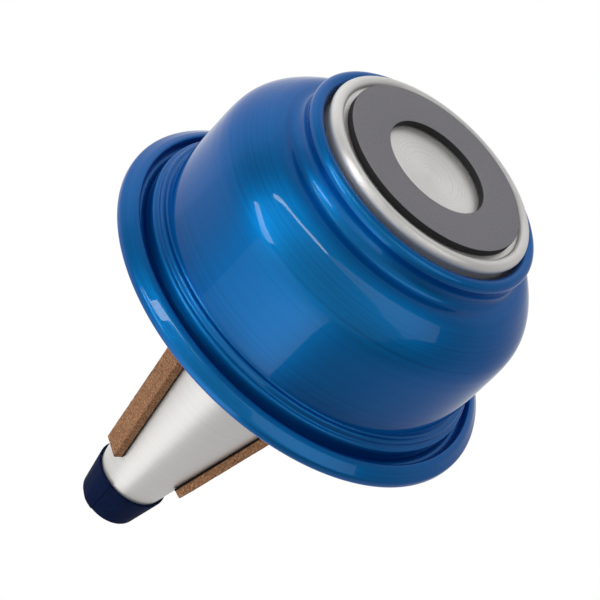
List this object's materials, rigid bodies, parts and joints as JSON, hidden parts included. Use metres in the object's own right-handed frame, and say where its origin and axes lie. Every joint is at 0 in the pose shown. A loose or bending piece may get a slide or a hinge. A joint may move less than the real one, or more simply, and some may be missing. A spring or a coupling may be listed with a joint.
{
  "type": "trumpet cup mute",
  "caption": "Adjustable cup mute for a trumpet: tapered aluminium body with cork strips, rubber base pad, and a blue lacquered cup that slides along the body.",
  "frame": {"origin": "centre of the base pad's lower face, which the mute stands on", "axes": "+Z along the axis, from the base pad to the narrow tip; +Y towards the first cork strip"},
  "size_m": [0.1176, 0.1176, 0.153],
  "materials": {
    "pad_rubber": "fine-celled foam rubber with a matt mottled face and near-black cut sides",
    "turned_aluminium": "satin, finely turned in circles",
    "spun_aluminium": "satin, brushed round the axis",
    "band_rubber": "navy, smooth satin band",
    "cork": "fine-grained pressed cork, raw",
    "blue_lacquer": "clear blue gloss lacquer over spun aluminium",
    "felt": "dark navy pressed felt"
  },
  "bodies": {
    "mute_body": {"cone_body": "spun_aluminium", "base_plate": "turned_aluminium", "base_pad": "pad_rubber", "tip_sleeve": "band_rubber", "cork_strip_1": "cork", "cork_strip_2": "cork", "cork_strip_3": "cork"},
    "cup": {"cup_shell": "blue_lacquer", "neck_liner": "felt"}
  },
  "joints": [
    {"name": "cup_slide", "type": "slide", "parent": "mute_body", "child": "cup", "axis": [0, 0, 1], "range_m": [0, 0.014]}
  ]
}
